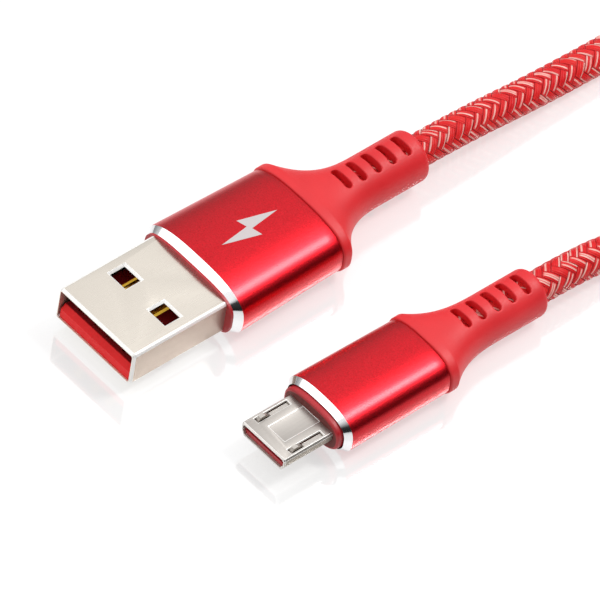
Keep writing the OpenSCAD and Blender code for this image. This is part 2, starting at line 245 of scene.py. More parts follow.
def coil_place(t):
    """Distance inwards from the outer turn, and height over the lowest turn, after t turns.

    The turns lie side by side, and step one pitch inwards (below) or outwards (above) in one
    sixth of a turn. The fourth step climbs onto the turn below, and the last one rolls off it.
    """
    lap = math.floor(t - JUMP_START)
    s = float(smoothstep((t - lap - JUMP_START) / (JUMP_END - JUMP_START)))
    if t < JUMP_START:
        return 0, 0
    if lap < LOW_LAPS:
        return PITCH * (lap + s), 0
    if lap == LOW_LAPS:
        climb = math.pi - s * (math.pi - math.atan2(UPPER, PITCH / 2))
        inward = PITCH * (LOW_LAPS - 1 + s) - TOUCH * math.cos(climb)
        return inward, TOUCH * math.sin(climb)
    if lap < ALL_LAPS:
        grooves = 2 * LOW_LAPS + 0.5 - lap
        return PITCH * (grooves - s), UPPER + HUMP * math.sin(2 * math.pi * s) ** 2
    roll = (math.pi - math.atan2(UPPER, PITCH / 2)) * (1 - s)
    return PITCH * s - TOUCH * math.cos(roll), TOUCH * math.sin(roll)


def coil_points():
    """The coil's turns, lifted by the strap's thickness where it passes under them."""
    points = []
    for k in range(round(COIL_TURNS * STEPS_PER_TURN) + 1):
        t = k / STEPS_PER_TURN
        inward, height = coil_place(t)
        angle = math.pi - 2 * math.pi * t
        off_tie = abs((math.degrees(angle) - TIE_ANGLE + 180) % 360 - 180)
        lift = TIE_T * float(smoothstep((LIFT_FROM - off_tie) / LIFT_OVER))
        r = COIL_R - inward
        points.append((COIL_C[0] + r * math.cos(angle), COIL_C[1] + r * math.sin(angle),
                       REST_Z + height + lift))
    return points


def bend_points():
    """The small lead's arc, from its straight part to where it touches the outermost turn."""
    angles = [math.radians(a) for a in (180, 165, 150, 135, 120, BEND_END)]
    return [(BEND_X + BEND_R * math.cos(a), BEND_Y + BEND_R * math.sin(a),
             BEND_START_Z if k == 0 else REST_Z) for k, a in enumerate(angles)]


def smooth_route(points, step):
    """Catmull-Rom curve through the points, as points step apart, in mm."""
    p = np.array(points, float)
    p = np.vstack([2 * p[0] - p[1], p, 2 * p[-1] - p[-2]])
    knots = np.concatenate([[0], np.cumsum(np.linalg.norm(np.diff(p, axis=0), axis=1) ** 0.5)])
    out = []
    for i in range(1, len(p) - 2):
        t0, t1, t2, t3 = knots[i - 1:i + 3]
        count = max(2, math.ceil(np.linalg.norm(p[i + 1] - p[i]) / step))
        for t in np.linspace(t1, t2, count, endpoint=False):
            a1 = ((t1 - t) * p[i - 1] + (t - t0) * p[i]) / (t1 - t0)
            a2 = ((t2 - t) * p[i] + (t - t1) * p[i + 1]) / (t2 - t1)
            a3 = ((t3 - t) * p[i + 1] + (t - t2) * p[i + 2]) / (t3 - t2)
            b1 = ((t2 - t) * a1 + (t - t0) * a2) / (t2 - t0)
            b2 = ((t3 - t) * a2 + (t - t1) * a3) / (t3 - t1)
            out.append(((t2 - t) * b1 + (t - t1) * b2) / (t2 - t1))
    out.append(p[-2])
    return np.array(out)


def cord_route():
    """From inside the large strain relief, through the coil, to inside the small one."""
    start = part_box("large_jacket_end")[0].y / MM
    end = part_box("small_jacket_end")[0].y / MM
    large_x, _, large_z = LEAD_LARGE[0]
    small_x, _, small_z = LEAD_SMALL[0]
    route = [(large_x, start, large_z), (large_x, INSIDE_LARGE_Y, large_z)]
    route += LEAD_LARGE + coil_points() + (LEAD_SMALL + bend_points())[::-1][1:]
    route += [(small_x, INSIDE_SMALL_Y, small_z), (small_x, end, small_z)]
    return smooth_route(route, ROUTE_STEP)


# ---------------------------------------------------------------- cord: braid

CARRIERS = 8
BRAID_PITCH = 1.25
FINE_SIDES, COARSE_SIDES = 96, 24
FINE_STEP, COARSE_STEP = 0.11, 0.6
FINE_ENDS = (52, 36)
WEAVE_TURN = (-31.4, -13.6)
STRAND_RISE = 0.16


def spaced_along(line, spacing):
    """Points along the line, where spacing(s) gives the step at the length s, and their lengths."""
    along = np.concatenate([[0], np.cumsum(np.linalg.norm(np.diff(line, axis=0), axis=1))])
    at = [0.0]
    while at[-1] < along[-1]:
        at.append(at[-1] + spacing(at[-1], along[-1]))
    at = np.array(at[:-1] + [along[-1]])
    return np.stack([np.interp(at, along, line[:, k]) for k in range(3)], 1), at


def braid_height(around, along):
    """Height of the weave, 0 to 1. Both arguments count strands: across strand a and across b."""
    p, q = around + along, around - along
    i, j = np.floor(p), np.floor(q)
    a_on_top = (i + j) % 4 < 2
    across = np.where(a_on_top, p - i, q - j)
    run = np.where(a_on_top, (q + i) % 4 / 2, ((p + j) % 4 - 2) / 2)
    body = np.clip(1 - np.abs(2 * across - 1) ** 2.6, 0, 1) ** 0.5
    return body * (0.35 + 0.65 * np.sin(math.pi * np.clip(run, 0, 1)) ** 0.7)


def braid_mesh(name, line, fine_ends):
    """Tube along the line in mm, with the weave raised finely within fine_ends of the two ends."""
    first, last = fine_ends

    def spacing(s, total):
        return FINE_STEP if s < first or s > total - last else COARSE_STEP

    points, at = spaced_along(line, spacing)
    tangent = np.gradient(points, axis=0)
    tangent /= np.linalg.norm(tangent, axis=1)[:, None]
    side = np.cross(tangent, (0, 0, 1))
    side /= np.linalg.norm(side, axis=1)[:, None]
    over = np.cross(side, tangent)
    total = at[-1]
    verts, faces, strands, rings = [], [], [], []
    for k, s in enumerate(at):
        fine = s <= first or s >= total - last
        sides = FINE_SIDES if fine else COARSE_SIDES
        turn = np.arange(sides) / sides
        edge = min(abs(s - first), abs(s - total + last))
        rise = STRAND_RISE * (smoothstep(edge / 2) if fine else 0)
        height = braid_height(turn * CARRIERS, s / BRAID_PITCH)
        r = CORD_D / 2 - STRAND_RISE * 0.35 + rise * (height - 0.5)
        turned = WEAVE_TURN[0] + (WEAVE_TURN[1] - WEAVE_TURN[0]) * smoothstep(s / total)
        angle = 2 * math.pi * turn + math.radians(turned)
        ring = points[k] + r[:, None] * (np.cos(angle)[:, None] * side[k]
                                         + np.sin(angle)[:, None] * over[k])
        rings.append((len(verts), sides))
        verts.extend(ring * MM)
    for k in range(len(rings) - 1):
        (a, n), (b, m) = rings[k], rings[k + 1]
        v0, v1 = at[k] / BRAID_PITCH, at[k + 1] / BRAID_PITCH
        parts = min(n, m)
        for i in range(parts):
            low = [(a + (i * n // parts + d) % n, (i + d * parts / n) / parts, v0)
                   for d in range(n // parts + 1)]
            high = [(b + (i * m // parts + d) % m, (i + d * parts / m) / parts, v1)
                    for d in range(m // parts + 1)]
            loop = low + high[::-1]
            faces.append(tuple(c[0] for c in loop))
            strands.extend((c[1] * CARRIERS, c[2]) for c in loop)
    for start, n, turn in ((rings[0][0], rings[0][1], -1), (rings[-1][0], rings[-1][1], 1)):
        face = [start + i for i in range(n)][::turn]
        faces.append(tuple(face))
        strands.extend((0, 0) for _ in face)
    mesh = bpy.data.meshes.new(name)
    mesh.from_pydata(verts, [], faces)
    layer = mesh.uv_layers.new(name="strand")
    layer.data.foreach_set("uv", np.array(strands, np.float32).ravel())
    mesh.shade_smooth()
    obj = bpy.data.objects.new(name, mesh)
    bpy.context.scene.collection.objects.link(obj)
    return obj, points


# ---------------------------------------------------------------- node helpers

class Nodes:
    """Short calls for building one node tree."""

    def __init__(self, tree):
        self.tree = tree

    def add(self, kind, **values):
        node = self.tree.nodes.new(kind)
        for key, value in values.items():
            setattr(node, key, value)
        return node

    def link(self, value, socket):
        if isinstance(value, bpy.types.NodeSocket):
            self.tree.links.new(value, socket)
        else:
            socket.default_value = value

    def math(self, operation, *values, clamp=False):
        node = self.add("ShaderNodeMath", operation=operation, use_clamp=clamp)
        for value, socket in zip(values, node.inputs):
            self.link(value, socket)
        return node.outputs[0]

    def mix(self, factor, a, b):
        node = self.add("ShaderNodeMix", data_type="RGBA")
        self.link(factor, node.inputs["Factor"])
        for value, socket in ((a, node.inputs[6]), (b, node.inputs[7])):
            self.link(value if isinstance(value, bpy.types.NodeSocket) else (*value, 1), socket)
        return node.outputs[2]

    def noise(self, scale, detail=2.0, rough=0.5, vector=None, stretch=None):
        node = self.add("ShaderNodeTexNoise")
        self.link(scale, node.inputs["Scale"])
        node.inputs["Detail"].default_value = detail
        node.inputs["Roughness"].default_value = rough
        source = vector or self.place()
        if stretch:
            mapping = self.add("ShaderNodeMapping")
            self.link(source, mapping.inputs["Vector"])
            mapping.inputs["Scale"].default_value = stretch
            source = mapping.outputs[0]
        self.link(source, node.inputs["Vector"])
        return node.outputs["Fac"]

    def place(self):
        """The point's place in the frame, in metres: a piece's object sits at the origin."""
        return self.add("ShaderNodeTexCoord").outputs["Object"]

    def ramp(self, value, low, high, out_low=0.0, out_high=1.0):
        node = self.add("ShaderNodeMapRange", clamp=True)
        for item, socket in zip((value, low, high, out_low, out_high), node.inputs):
            self.link(item, socket)
        return node.outputs[0]

    def bump(self, height, distance, strength):
        node = self.add("ShaderNodeBump")
        node.inputs["Strength"].default_value = strength
        node.inputs["Distance"].default_value = distance
        self.link(height, node.inputs["Height"])
        return node.outputs[0]


class Material(Nodes):
    """A new material, with calls for its node tree."""

    def __init__(self, name):
        self.mat = bpy.data.materials.new(name)
        self.mat.use_nodes = True
        super().__init__(self.mat.node_tree)
        self.shader = self.tree.nodes["Principled BSDF"]

    def set(self, **values):
        """Sets the shader's sockets: base_color=..., roughness=..., and so on."""
        for key, value in values.items():
            name = " ".join(word.capitalize() for word in key.split("_"))
            socket = self.shader.inputs[name.replace("Ior", "IOR")]
            if isinstance(value, tuple) and len(value) == 3 and socket.type == "RGBA":
                value = (*value, 1)
            self.link(value, socket)
        return self


def finish(obj, material, body="root"):
    """Gives a piece its materials and its body."""
    obj.data.materials.clear()
    for mat in material if isinstance(material, list) else [material]:
        obj.data.materials.append(mat)
    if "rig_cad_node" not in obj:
        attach(obj, body)


# ---------------------------------------------------------------- materials

def anodised_material():
    """Red anodised aluminium, bead blasted: a fine even grain over a tinted metal."""
    n = Material("red_anodised")
    grain = n.noise(6000, 3, 0.7)
    cloud = n.noise(300, 2)
    colour = n.mix(n.ramp(grain, 0.35, 0.65), (0.55, 0.004, 0.011), (0.74, 0.008, 0.020))
    colour = n.mix(n.ramp(cloud, 0.3, 0.7, 0, 0.2), colour, (0.63, 0.005, 0.014))
    return n.set(base_color=colour, metallic=0.95, roughness=n.ramp(grain, 0.3, 0.7, 0.27, 0.36),
                 coat_weight=0.34, coat_roughness=0.22, normal=n.bump(grain, 0.00003, 0.6)).mat


def cut_ring_material():
    """Bare aluminium where the diamond tool cut the sleeve's edge: fine turning lines."""
    n = Material("cut_aluminium")
    lines = n.noise(2600, 2, 0.5, stretch=(0.15, 6, 0.15))
    return n.set(base_color=n.mix(lines, (0.86, 0.86, 0.87), (0.95, 0.95, 0.96)), metallic=1.0,
                 roughness=n.ramp(lines, 0.3, 0.7, 0.07, 0.13),
                 normal=n.bump(lines, 0.000004, 0.4)).mat


def rubber_material():
    """Soft matte moulding, with faint mould grain and a slight bloom where the light grazes."""
    n = Material("red_rubber")
    grain = n.noise(5200, 3, 0.6)
    cloud = n.noise(220, 3)
    colour = n.mix(n.ramp(cloud, 0.3, 0.7), (0.66, 0.012, 0.018), (0.74, 0.018, 0.024))
    return n.set(base_color=colour, roughness=n.ramp(grain, 0.3, 0.7, 0.44, 0.56),
                 specular_ior_level=0.5, sheen_weight=0.1, sheen_roughness=0.45,
                 sheen_tint=(1.0, 0.3, 0.3),
                 subsurface_weight=0.08, subsurface_radius=(0.6, 0.15, 0.1), subsurface_scale=0.001,
                 normal=n.bump(grain, 0.00003, 0.4)).mat


def steel_material(name, base, side, rough, brushed):
    """Plated sheet with fine rolling lines along the plug, rougher on its sides, which are also
    painted darker as painted shade.
    """
    n = Material(name)
    lines = n.noise(2200, 4, 0.6, stretch=(4, 0.12, 4))
    wear = n.noise(900, 4, 0.65)
    colour = n.mix(n.ramp(lines, 0.3, 0.7, 0, brushed), base, tuple(0.84 * c for c in base))
    colour = n.mix(n.ramp(wear, 0.55, 0.8, 0, 0.12), colour, tuple(0.72 * c for c in base))
    facing = n.add("ShaderNodeSeparateXYZ")
    n.link(n.add("ShaderNodeNewGeometry").outputs["Normal"], facing.inputs[0])
    sideways = n.ramp(n.math("ABSOLUTE", facing.outputs[0]), 0.6, 0.95)
    # Faces turned sideways take the darker side colour: painted shade.
    colour = n.mix(sideways, colour, side)
    dull = n.math("MULTIPLY", sideways, 0.22)
    return n.set(base_color=colour, metallic=1.0,
                 roughness=n.math("ADD", n.ramp(lines, 0.25, 0.75, rough - 0.04, rough + 0.06), dull),
                 normal=n.bump(lines, 0.00001, 0.1 * brushed)).mat


def plastic_material(name, base, rough=0.4, shine=0.5):
    """Moulded plastic with a faint orange peel and a little colour flow."""
    n = Material(name)
    peel = n.noise(2400, 2)
    flow = n.noise(260, 3)
    dark = tuple(0.82 * c for c in base)
    return n.set(base_color=n.mix(n.ramp(flow, 0.3, 0.7), base, dark),
                 roughness=n.ramp(peel, 0.3, 0.7, rough - 0.05, rough + 0.08),
                 specular_ior_level=shine, normal=n.bump(peel, 0.00002, 0.25)).mat


def tongue_material():
    """Red moulding of the tongue: red at its tip, painted dark maroon behind it as painted shade of
    the plug's mouth.
    """
    n = Material("red_insulator")
    peel = n.noise(2400, 2)
    flow = n.noise(260, 3)
    along = n.add("ShaderNodeSeparateXYZ")
    n.link(n.place(), along.inputs[0])
    tip = n.ramp(along.outputs[1], FRONT_Y - 12.1 * MM, FRONT_Y - 12.3 * MM)
    unshaded_red = n.mix(n.ramp(flow, 0.3, 0.7), (0.88, 0.012, 0.014), (0.80, 0.010, 0.012))
    # The dark maroon behind the tip is painted shade, not a colour of the moulding.
    return n.set(base_color=n.mix(tip, (0.19, 0.004, 0.008), unshaded_red),
                 roughness=n.ramp(peel, 0.3, 0.7, 0.4, 0.5), specular_ior_level=0.2,
                 normal=n.bump(peel, 0.00002, 0.25)).mat


def gold_material():
    n = Material("gold_contact")
    lines = n.noise(5000, 3, stretch=(5, 0.2, 5))
    return n.set(base_color=n.mix(lines, (1.0, 0.66, 0.18), (0.86, 0.5, 0.1)), metallic=1.0,
                 roughness=n.ramp(lines, 0.3, 0.7, 0.18, 0.3)).mat


def edge_highlight_material():
    """Edges and round corners of the sheet, painted near white: a painted highlight that shows from
    everywhere.
    """
    n = Material("painted_highlight_edge")
    wear = n.noise(3000, 3)
    return n.set(base_color=n.mix(wear, (0.90, 0.88, 0.85), (0.99, 0.98, 0.96)), metallic=0.25,
                 roughness=n.ramp(wear, 0.3, 0.7, 0.35, 0.5)).mat


def glowing_gold_flank_material():
    """Coined flanks of the contacts, in brighter gold with a faint glow: a painted highlight."""
    n = Material("gold_flank_painted_glow")
    wear = n.noise(4000, 3)
    colour = n.mix(wear, (1.0, 0.58, 0.04), (1.0, 0.68, 0.10))
    # The emission is a painted glow; the flank is no lamp.
    return n.set(base_color=colour, metallic=0.2, roughness=n.ramp(wear, 0.3, 0.7, 0.4, 0.55),
                 emission_color=colour, emission_strength=0.35).mat


def braid_material():
    """Nylon braid: strands of four threads, crossing in columns, with one pale thread in most."""
    n = Material("braid")
    uv = n.add("ShaderNodeUVMap", uv_map="strand").outputs[0]
    parts = n.add("ShaderNodeSeparateXYZ")
    n.link(uv, parts.inputs[0])
    around, along = parts.outputs[0], parts.outputs[1]
    p, q = n.math("ADD", around, along), n.math("SUBTRACT", around, along)
    i, j = n.math("FLOOR", p), n.math("FLOOR", q)
    crossing = n.math("FLOORED_MODULO", n.math("ADD", i, j), 4.0)
    a_on_top = n.math("LESS_THAN", crossing, 1.5)

    def pick(a, b):
        node = n.add("ShaderNodeMix", data_type="FLOAT")
        for value, k in ((a_on_top, 0), (b, 2), (a, 3)):
            n.link(value, node.inputs[k])
        return node.outputs[0]

    across = pick(n.math("SUBTRACT", p, i), n.math("SUBTRACT", q, j))
    run_a = n.math("MULTIPLY", n.math("FLOORED_MODULO", n.math("ADD", q, i), 4.0), 0.5)
    run_b = n.math("MULTIPLY", n.math("SUBTRACT",
                   n.math("FLOORED_MODULO", n.math("ADD", p, j), 4.0), 2.0), 0.5)
    run = pick(run_a, run_b)
    column = n.math("FLOOR", n.math("MULTIPLY", n.math("ADD", i, j), 0.5))
    strand = n.math("ADD", pick(i, n.math("ADD", j, 40.5)), n.math("MULTIPLY", column, 7.31))
    random = n.add("ShaderNodeTexWhiteNoise", noise_dimensions="1D")
    n.link(strand, random.inputs["W"])
    random2 = n.add("ShaderNodeTexWhiteNoise", noise_dimensions="1D")
    n.link(n.math("ADD", strand, 91.7), random2.inputs["W"])

    threads = 4.0
    thread_at = n.math("MULTIPLY", across, threads)
    thread = n.math("FLOOR", thread_at)
    in_thread = n.math("SUBTRACT", thread_at, thread)
    thread_round = n.math("SINE", n.math("MULTIPLY", in_thread, math.pi))
    pale_thread = n.math("FLOOR", n.math("MULTIPLY", random.outputs[0], 5.0))
    second_thread = n.math("FLOOR", n.math("MULTIPLY", random2.outputs[0], 9.0))
    is_pale = n.math("MAXIMUM", n.math("COMPARE", thread, pale_thread, 0.5),
                     n.math("COMPARE", thread, second_thread, 0.5))
    run_round = n.math("SINE", n.math("MULTIPLY", run, math.pi, clamp=True))
    across_round = n.math("SINE", n.math("MULTIPLY", across, math.pi))

    fibre_place = n.add("ShaderNodeCombineXYZ")
    n.link(n.math("MULTIPLY", across, 22.0), fibre_place.inputs[0])
    n.link(n.math("MULTIPLY", run, 1.6), fibre_place.inputs[1])
    n.link(strand, fibre_place.inputs[2])
    fibre = n.noise(1.0, 3, 0.6, vector=fibre_place.outputs[0])

    red = n.mix(n.ramp(fibre, 0.3, 0.7), (0.50, 0.002, 0.006), (0.80, 0.008, 0.012))
    red = n.mix(n.math("MULTIPLY", random2.outputs[0], 0.35), red, (0.84, 0.030, 0.020))
    pale = n.mix(n.ramp(fibre, 0.3, 0.75), (0.78, 0.22, 0.19), (0.93, 0.62, 0.55))
    show = n.math("MULTIPLY", is_pale, n.ramp(thread_round, 0.05, 0.4))
    show = n.math("MULTIPLY", show, n.ramp(run_round, 0.1, 0.45))
    show = n.math("MULTIPLY", show, n.ramp(fibre, 0.25, 0.5, 0.45, 1.0))
    colour = n.mix(show, red, pale)
    gap = n.math("MULTIPLY", n.ramp(across_round, 0.0, 0.3), n.ramp(run_round, 0.0, 0.3, 0.4, 1))
    # Painted shade: dark red in the gaps between the strands.
    colour = n.mix(n.ramp(gap, 0.0, 0.8), (0.34, 0.002, 0.005), colour)
    # Painted shade: each thread darker along its edges.
    colour = n.mix(n.ramp(thread_round, 0.0, 0.4, 0.3, 0.0), colour, (0.36, 0.003, 0.006))
    height = n.math("ADD", n.math("MULTIPLY", gap, 1.0), n.math("MULTIPLY", thread_round, 0.35))
    height = n.math("ADD", height, n.math("MULTIPLY", fibre, 0.2))
    return n.set(base_color=colour, roughness=n.ramp(fibre, 0.3, 0.7, 0.38, 0.55),
                 specular_ior_level=0.3, normal=n.bump(height, 0.00012, 0.8)).mat


def strap_material():
    """Woven hook-and-loop strap: fine loops on a dark tape."""
    n = Material("tie_fabric")
    loops = n.noise(4200, 4, 0.7)
    weave = n.noise(1500, 2, stretch=(1, 1, 5))
    colour = n.mix(n.ramp(loops, 0.35, 0.65), (0.010, 0.010, 0.011), (0.055, 0.055, 0.058))
    return n.set(base_color=colour, roughness=0.9, specular_ior_level=0.2, sheen_weight=0.5,
                 sheen_roughness=0.6,
                 normal=n.bump(n.math("ADD", loops, weave), 0.00015, 0.8)).mat


def mark_material():
    """Pale lasered mark, slightly rough."""
    n = Material("laser_mark")
    grain = n.noise(9000, 3, 0.6)
    return n.set(base_color=n.mix(grain, (0.50, 0.45, 0.45), (0.62, 0.57, 0.57)), metallic=0.0,
                 roughness=n.ramp(grain, 0.3, 0.7, 0.5, 0.65)).mat


def floor_material():
    """Pale glossy table top."""
    n = Material("table_top")
    cloud = n.noise(40, 2)
    return n.set(base_color=n.mix(cloud, (0.34, 0.34, 0.34), (0.35, 0.35, 0.35)), roughness=0.05,
                 ior=2.2, emission_color=(1.0, 1.0, 1.0), emission_strength=0.58).mat


MATERIALS = {
    "anodised": anodised_material(),
    "cut": cut_ring_material(),
    "rubber": rubber_material(),
    # The third colour of each steel is the painted shade of its sideways faces.
    "bright": steel_material("plug_steel", (0.79, 0.73, 0.65), (0.56, 0.47, 0.40), 0.28, 0.06),
    "satin": steel_material("satin_steel", (0.62, 0.58, 0.54), (0.40, 0.36, 0.31), 0.34, 0.6),
    "edge": edge_highlight_material(),
    "insulator": tongue_material(),
    "nose": plastic_material("red_nose", (0.46, 0.016, 0.024), 0.4),
    # Dusky brown for the small nose's flat front face: painted shade.
    "nose_face_shade": plastic_material("painted_shade_nose_face", (0.19, 0.05, 0.045), 0.5, shine=0.15),
    "gold_edge": glowing_gold_flank_material(),
    "inner": plastic_material("inner_plastic", (0.80, 0.79, 0.76), 0.45),
    "gold": gold_material(),
    "braid": braid_material(),
    "strap": strap_material(),
    "mark": mark_material(),
    "wire_red": plastic_material("wire_red", (0.62, 0.02, 0.02), 0.35),
    "wire_white": plastic_material("wire_white", (0.82, 0.82, 0.80), 0.35),
    "wire_green": plastic_material("wire_green", (0.03, 0.35, 0.07), 0.35),
    "wire_black": plastic_material("wire_black", (0.015, 0.015, 0.016), 0.35),
}


# ---------------------------------------------------------------- the cord itself

cord, cord_points = braid_mesh("braided_cord", cord_route(), FINE_ENDS)
finish(cord, MATERIALS["braid"])
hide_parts("cord_lead_large", "cord_coil", "cord_lead_small", "large_jacket_end",
            "small_jacket_end")


# ---------------------------------------------------------------- sleeves

SLEEVE_N = 192
SOLE = 0.12


class Plug:
    """One plug's own sizes, in mm, along the plug from FRONT_Y."""

    def __init__(self, name, at, sleeve, power, taper, bore, bore_power, rim, chamfer, sleeve_end,
                 tail, tail_r, neck, slot_y):
        self.name, self.at = name, at
        self.a, self.b, self.power, self.taper = sleeve[0] / 2, sleeve[1] / 2, power, taper
        self.bore, self.bore_power = bore, bore_power
        self.rim, self.chamfer, self.sleeve_end = rim, chamfer, sleeve_end
        self.tail, self.tail_r, self.neck, self.slot_y = tail, tail_r, neck, slot_y

    def floor(self, outline):
        """Cuts the crowned underside flat, as deep as the sole."""
        return np.stack([outline[:, 0], np.maximum(outline[:, 1], SOLE - self.b)], 1)


LARGE = Plug("large", (LARGE_X, LARGE_Z), (15.5, 7.2), 2.7, 0.944, (13.9, 5.6), 3.6, 0.3, 0.75, 15.5,
             (LARGE_TAIL - FRONT_Y) / MM, 3.0, 9, 21.3)
SMALL = Plug("small", (SMALL_X, SMALL_Z), (10.3, 5.9), 2.6, 0.97, (9, 4.7), 2.7, -0.9, 0.65, 13.7,
             (SMALL_TAIL - FRONT_Y) / MM, 2.8, 9, 19.2)


def sleeve(plug):
    """Tube with a cut front chamfer and a small round at its rear edge."""
    edge = 0.12
    length = plug.sleeve_end - plug.rim - plug.chamfer
    bore = oval(plug.bore[0] / 2, plug.bore[1] / 2, plug.bore_power, SLEEVE_N)
    rings = []

    def outer(y, shrink=0.0):
        k = 1 - (1 - plug.taper) * (y - plug.rim - plug.chamfer) / length
        return plug.floor(oval(plug.a * k - shrink, plug.b * k - shrink, plug.power, SLEEVE_N))

    front = plug.rim + plug.chamfer
    rings.append(ring_points(bore, plug.rim, plug.at))
    for share in (0.04, 0.5, 0.96):
        mixed = bore * (1 - share) + outer(front) * share
        rings.append(ring_points(mixed, plug.rim + plug.chamfer * share, plug.at))
    cut_rings = len(rings)
    rings.append(ring_points(outer(front), front, plug.at))
    for y in np.linspace(front + 0.06, plug.sleeve_end - edge, 14):
        rings.append(ring_points(outer(y), y, plug.at))
    for t in (30, 60, 90):
        y = plug.sleeve_end - edge * (1 - math.sin(math.radians(t)))
        rings.append(ring_points(outer(y, edge * (1 - math.cos(math.radians(t)))), y, plug.at))
    for y in (plug.sleeve_end, plug.rim + 0.5):
        rings.append(ring_points(bore, y, plug.at))
    obj = loft(plug.name + "_sleeve_body", rings, closed=True, smooth_deg=20)
    for face in obj.data.polygons:
        face.material_index = 1 if face.index < cut_rings * SLEEVE_N else 0
    return obj


def set_indices(obj, materials):
    kept = [face.material_index for face in obj.data.polygons]
    finish(obj, materials)
    for face, index in zip(obj.data.polygons, kept):
        face.material_index = index


for plug in (LARGE, SMALL):
    body = sleeve(plug)
    set_indices(body, [MATERIALS["anodised"], MATERIALS["cut"]])
    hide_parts(plug.name + "_sleeve")


def sleeve_top(plug, x, y):
    """Height of the sleeve's crown over its middle line, in mm."""
    k = 1 - (1 - plug.taper) * (y - plug.rim - plug.chamfer) / (plug.sleeve_end - plug.rim
                                                               - plug.chamfer)
    return plug.b * k * (1 - abs(x / (plug.a * k)) ** plug.power) ** (1 / plug.power)


def bolt_mark():
    """A plain lightning bolt on the large sleeve's crown, as a thin raised film."""
    length, width, middle_y, rise = 8.2, 3.6, 8.2, 0.012
    outline = [(-0.5, 0.06), (0.06, 0.42), (0.02, 0.07), (0.5, -0.06), (-0.06, -0.42), (-0.02, -0.07)]
    mesh = bmesh.new()
    corners = [mesh.verts.new((v * width, middle_y + u * length, 0)) for u, v in outline]
    mesh.faces.new(corners)
    bmesh.ops.triangulate(mesh, faces=mesh.faces)
    for _ in range(4):
        bmesh.ops.subdivide_edges(mesh, edges=mesh.edges, cuts=1, use_grid_fill=True)
        bmesh.ops.triangulate(mesh, faces=mesh.faces)
    film = bmesh.ops.extrude_face_region(mesh, geom=mesh.faces[:])
    top = {v for v in film["geom"] if isinstance(v, bmesh.types.BMVert)}
    for v in mesh.verts:
        z = sleeve_top(LARGE, v.co.x, v.co.y) + (rise if v in top else -rise)
        v.co = (LARGE_X + v.co.x * MM, FRONT_Y + v.co.y * MM, LARGE_Z + z * MM)
    data = bpy.data.meshes.new("bolt_mark")
    mesh.to_mesh(data)
    mesh.free()
    obj = bpy.data.objects.new("bolt_mark", data)
    bpy.context.scene.collection.objects.link(obj)
    shade(obj)
    return obj


mark = bolt_mark()
finish(mark, MATERIALS["mark"])


# ---------------------------------------------------------------- strain reliefs

RELIEF_N = 120
SLOT_PITCH, SLOT_W, SLOT_L, SLOT_COUNT = 2.1, 0.9, 3.0, 5


def slot_cutter(plug, y, up):
    """Upright obround bar from the cord's surface to over the strain relief."""
    outline = []
    for k in range(24):
        t = 2 * math.pi * (k + 0.5) / 24
        shift = (SLOT_L - SLOT_W) / 2 * (1 if math.cos(t) > 0 else -1)
        outline.append((shift + SLOT_W / 2 * math.cos(t), y + SLOT_W / 2 * math.sin(t)))
    low, high = sorted((up * (CORD_D / 2 - 0.6), up * 5))
    x, z = plug.at
    verts = [(x + u * MM, FRONT_Y + v * MM, z + h * MM) for h in (low, high) for u, v in outline]
    n = len(outline)
    faces = [(i, (i + 1) % n, n + (i + 1) % n, n + i) for i in range(n)]
    faces += [tuple(range(n - 1, -1, -1)), tuple(range(n, 2 * n))]
    return new_object("cutter", verts, faces)


def strain_relief(plug):
    """Collar, hollow neck and round tail, with a row of flex slots above and one below."""
    proud, collar_l, edge, round_r, bore_r = 0.17, 1.1, 0.18, 0.6, CORD_D / 2 - 0.06
    r = plug.tail_r
    a, b = plug.a * plug.taper + proud, plug.b * plug.taper + proud
    start = plug.sleeve_end + 0.02
    rings = []

    def add(half_a, half_b, power, y):
        rings.append(ring_points(plug.floor(oval(half_a, half_b, power, RELIEF_N)), y, plug.at))

    for t in (0, 30, 60, 90):
        back = edge * (1 - math.sin(math.radians(t)))
        add(a - back, b - back, plug.power, start + edge * (1 - math.cos(math.radians(t))))
    for u in np.linspace(0, 1, 46):
        f = (1 - u) ** 3
        add(r + (a - r) * f, r + (b - r) * f, 2 + (plug.power - 2) * f,
            start + collar_l + plug.neck * u)
    for y in np.arange(start + collar_l + plug.neck + 0.3, plug.tail - round_r, 0.3):
        add(r, r, 2, y)
    for t in range(0, 91, 15):
        back = round_r * (1 - math.cos(math.radians(t)))
        add(r - back, r - back, 2, plug.tail - round_r * (1 - math.sin(math.radians(t))))
    for y in (plug.tail, start):
        add(bore_r, bore_r, 2, y)
    obj = loft(plug.name + "_relief", rings, closed=True)
    slots = [slot_cutter(plug, plug.slot_y + k * SLOT_PITCH, up)
             for k in range(SLOT_COUNT) for up in (1, -1)]
    cut(obj, slots)
    remesh = obj.modifiers.new("soften", "REMESH")
    remesh.mode, remesh.voxel_size, remesh.use_smooth_shade = "VOXEL", 0.1 * MM, True
    soft = obj.modifiers.new("relax", "SMOOTH")
    soft.factor, soft.iterations = 0.5, 4
    apply_modifiers(obj)
    obj.data.shade_smooth()
    return obj


for plug in (LARGE, SMALL):
    relief = strain_relief(plug)
    finish(relief, MATERIALS["rubber"])
    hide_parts(plug.name + "_strain_relief")


# ---------------------------------------------------------------- shells

def shell_tube(name, outer, lip, inner, y0, y1, chamfer, at):
    """Sheet-metal tube from outlines of equal count. The lip is the outer one at the mouth."""
    rings = [ring_points(lip, y0, at), ring_points(outer, y0 + chamfer, at),
             ring_points(outer, y1, at), ring_points(inner, y1, at), ring_points(inner, y0, at)]
    return loft(name, rings, closed=True)


